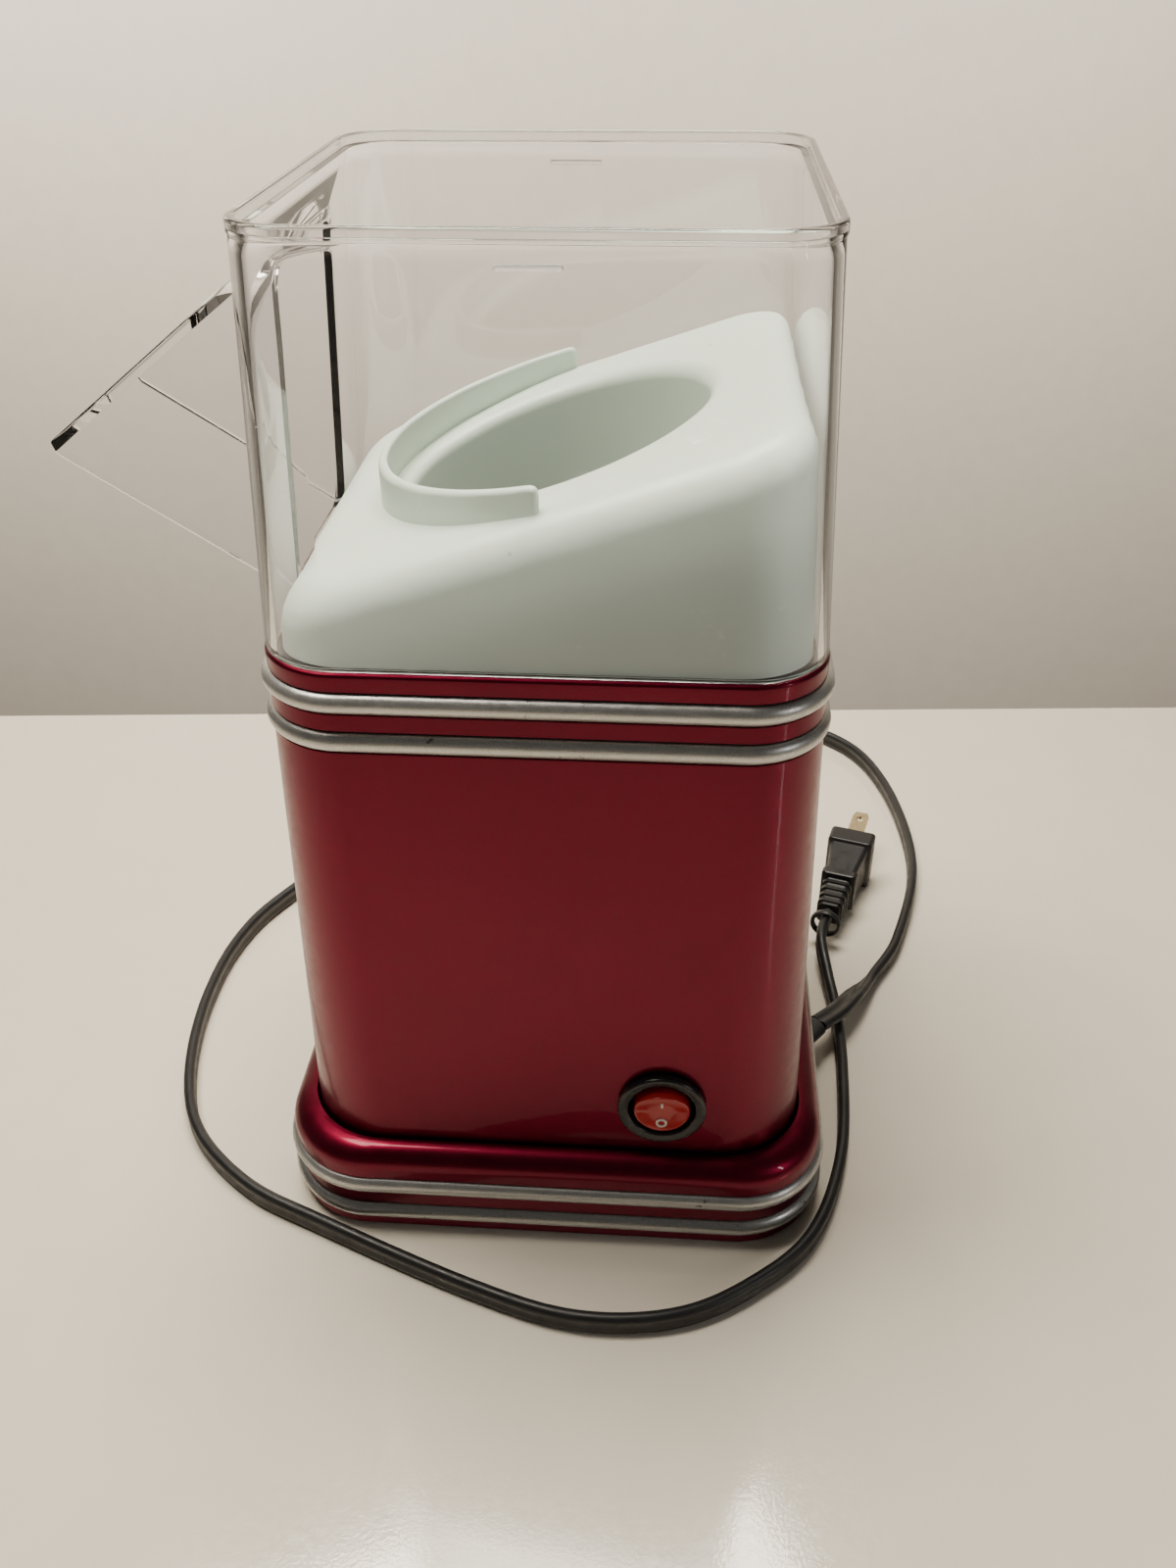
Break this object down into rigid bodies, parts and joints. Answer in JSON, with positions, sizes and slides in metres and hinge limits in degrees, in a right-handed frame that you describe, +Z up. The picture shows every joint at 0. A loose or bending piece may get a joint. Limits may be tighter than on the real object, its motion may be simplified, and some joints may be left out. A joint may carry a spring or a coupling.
{
  "type": "popcorn maker",
  "caption": "Retro hot-air popcorn maker: square red housing on a beaded plinth, clear lift-off cover with a chute hood, white sloped insert, rocker switch and flat mains cord.",
  "frame": {"origin": "on the surface it stands on, at the centre of the object's box in plan, measured without the cord and plug", "axes": "+Z up; the switch faces -Y; the chute hood points to -X; the cord leaves the +X side"},
  "size_m": [0.2689, 0.338, 0.28],
  "materials": {
    "red_plastic": "deep red gloss with a candy-metallic look",
    "silver_trim": "satin silver paint with fine flake, chipped in places",
    "black_plastic": "satin black moulding",
    "rubber_foot": "matte rubber",
    "steel": "plain sheet and turned steel",
    "clear_plastic": "clear moulded plastic, polished",
    "white_plastic": "pale mint-white moulding, semi-gloss",
    "aluminium": "drawn aluminium",
    "mica": "flaky mica sheet",
    "heating_wire": "oxidised nickel-chrome wire",
    "fan_plastic": "plain moulding",
    "board": "plain circuit board",
    "red_rocker": "translucent red gloss",
    "brass": "plain plated brass",
    "cord_rubber": "satin black vinyl"
  },
  "bodies": {
    "base": {"body_shell": "red_plastic", "plinth": "red_plastic", "trim_top_upper": "silver_trim", "trim_top_lower": "silver_trim", "trim_base_upper": "silver_trim", "trim_base_lower": "silver_trim", "base_plate": "black_plastic", "top_deck": "black_plastic", "insert_ledge": "black_plastic", "chamber": "aluminium", "heater_housing": "steel", "mica_cross": "mica", "heating_coil": "heating_wire", "fan_housing": "black_plastic", "motor_bracket": "steel", "motor": "steel", "rectifier_board": "board", "rectifier": "black_plastic", "thermal_fuse": "steel", "thermostat": "steel", "switch_bezel": "black_plastic", "switch_body": "black_plastic", "switch_terminal_1": "brass", "switch_terminal_2": "brass", "strain_relief": "cord_rubber", "cord": "cord_rubber", "plug_body": "cord_rubber", "plug_blade_1": "brass", "plug_blade_2": "brass", "foot_1": "rubber_foot", "base_screw_1": "steel", "foot_2": "rubber_foot", "base_screw_2": "steel", "foot_3": "rubber_foot", "base_screw_3": "steel", "foot_4": "rubber_foot", "base_screw_4": "steel"},
    "cover_body": {"cover": "clear_plastic", "insert": "white_plastic"},
    "rotor": {"fan": "fan_plastic", "motor_shaft": "steel"},
    "rocker_body": {"rocker": "red_rocker"}
  },
  "joints": [
    {"name": "cover_lift", "type": "slide", "parent": "base", "child": "cover_body", "axis": [0, 0, 1], "range_m": [0, 0.075]},
    {"name": "fan_spin", "type": "hinge", "parent": "base", "child": "rotor", "pos_m": [0.0201, 0, 0.048], "axis": [0, 0, 1], "continuous": true},
    {"name": "rocker_tilt", "type": "hinge", "parent": "base", "child": "rocker_body", "pos_m": [0.0523, -0.07163, 0.049], "axis": [-1, 0, 0], "range_deg": [0, 18]}
  ]
}
